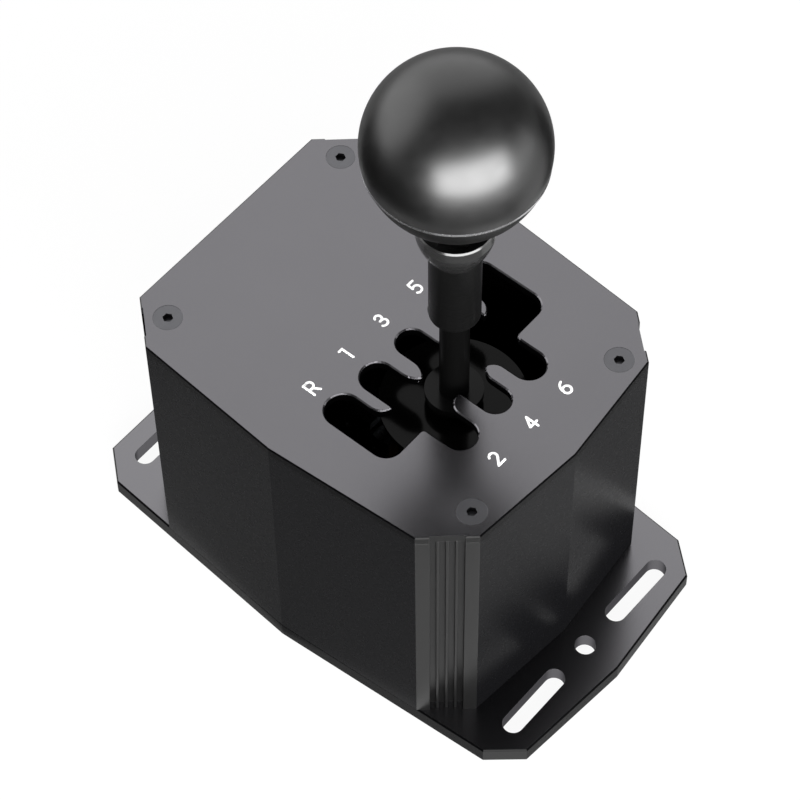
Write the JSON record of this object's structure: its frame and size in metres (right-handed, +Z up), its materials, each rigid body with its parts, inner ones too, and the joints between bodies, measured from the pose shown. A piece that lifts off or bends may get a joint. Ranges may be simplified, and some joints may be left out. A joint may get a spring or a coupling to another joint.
{
  "type": "sim racing gear shifter",
  "caption": "H-pattern gear shifter for racing simulators: a ball-topped lever on a two-axis pivot, in a steel housing with a gated top plate and a slotted base plate.",
  "frame": {"origin": "centre of the base plate's outline, on the surface the shifter stands on", "axes": "+Z up, +Y away from the driver (gears 1, 3 and 5), +X towards gears 5 and 6"},
  "size_m": [0.108, 0.1732, 0.2332],
  "materials": {
    "plate_black": "semi-gloss black coating",
    "housing_black": "semi-gloss black coating",
    "screw_black": "black oxide",
    "bare_steel": "turned steel",
    "zinc_steel": "zinc plated",
    "bronze": "sintered bronze",
    "alloy": "machined",
    "spring_steel": "spring wire",
    "magnet_nickel": "nickel plated",
    "board_green": "solder mask",
    "chip_black": "moulded",
    "header_white": "moulded",
    "lever_black": "satin black",
    "lever_grey": "satin dark grey",
    "disc_black": "moulded",
    "knob_black": "satin moulded",
    "ring_chrome": "bright ring",
    "insert_brass": "turned",
    "socket_steel": "stamped"
  },
  "bodies": {
    "base": {"base_plate": "plate_black", "housing": "housing_black", "top_plate": "plate_black", "top_screws": "screw_black", "base_screws": "screw_black", "front_stand": "zinc_steel", "rear_stand": "zinc_steel", "stand_screws": "screw_black", "select_bushes": "bronze", "centring_spring": "spring_steel", "sensor_bracket": "zinc_steel", "select_sensor_board": "board_green", "controller_board": "board_green", "board_chip": "chip_black", "board_headers": "header_white", "board_standoffs": "bare_steel", "board_screws": "screw_black", "usb_inlet": "socket_steel"},
    "select_carrier": {"select_frame": "alloy", "select_shafts": "bare_steel", "select_crank": "zinc_steel", "select_magnet": "magnet_nickel", "shift_bushes": "bronze", "shift_sensor_board": "board_green", "shift_board_posts": "insert_brass", "detent_bridge": "zinc_steel", "detent_spring": "spring_steel", "detent_grub_screw": "screw_black"},
    "lever": {"lever_hub": "alloy", "shift_pin": "bare_steel", "shift_circlips": "screw_black", "shift_magnet": "magnet_nickel", "detent_sector": "bare_steel", "sector_screws": "screw_black", "lever_rod": "lever_black", "dust_disc": "disc_black", "guide_flange": "lever_grey", "lever_sleeve": "lever_black", "lever_collar": "lever_black", "lock_nut": "lever_black", "knob_insert": "insert_brass", "knob_base": "knob_black", "knob_ring": "ring_chrome", "knob_shell": "knob_black"},
    "plunger": {"detent_plunger": "bare_steel"}
  },
  "joints": [
    {"name": "select_tilt", "type": "hinge", "parent": "base", "child": "select_carrier", "pos_m": [0, -0.0215, 0.038], "axis": [0, 1, 0], "range_deg": [-13.4, 13.4], "stiffness_Nm_per_rad": 2, "deforming": ["centring_spring"]},
    {"name": "shift_tilt", "type": "hinge", "parent": "select_carrier", "child": "lever", "pos_m": [0, -0.0215, 0.038], "axis": [-1, 0, 0], "range_deg": [-12.5, 12.5]},
    {"name": "plunger_slide", "type": "slide", "parent": "select_carrier", "child": "plunger", "axis": [0, 0, 1], "range_m": [0, 0.0008], "stiffness_N_per_m": 2000, "springref_m": 0.002, "deforming": ["detent_spring"]}
  ]
}
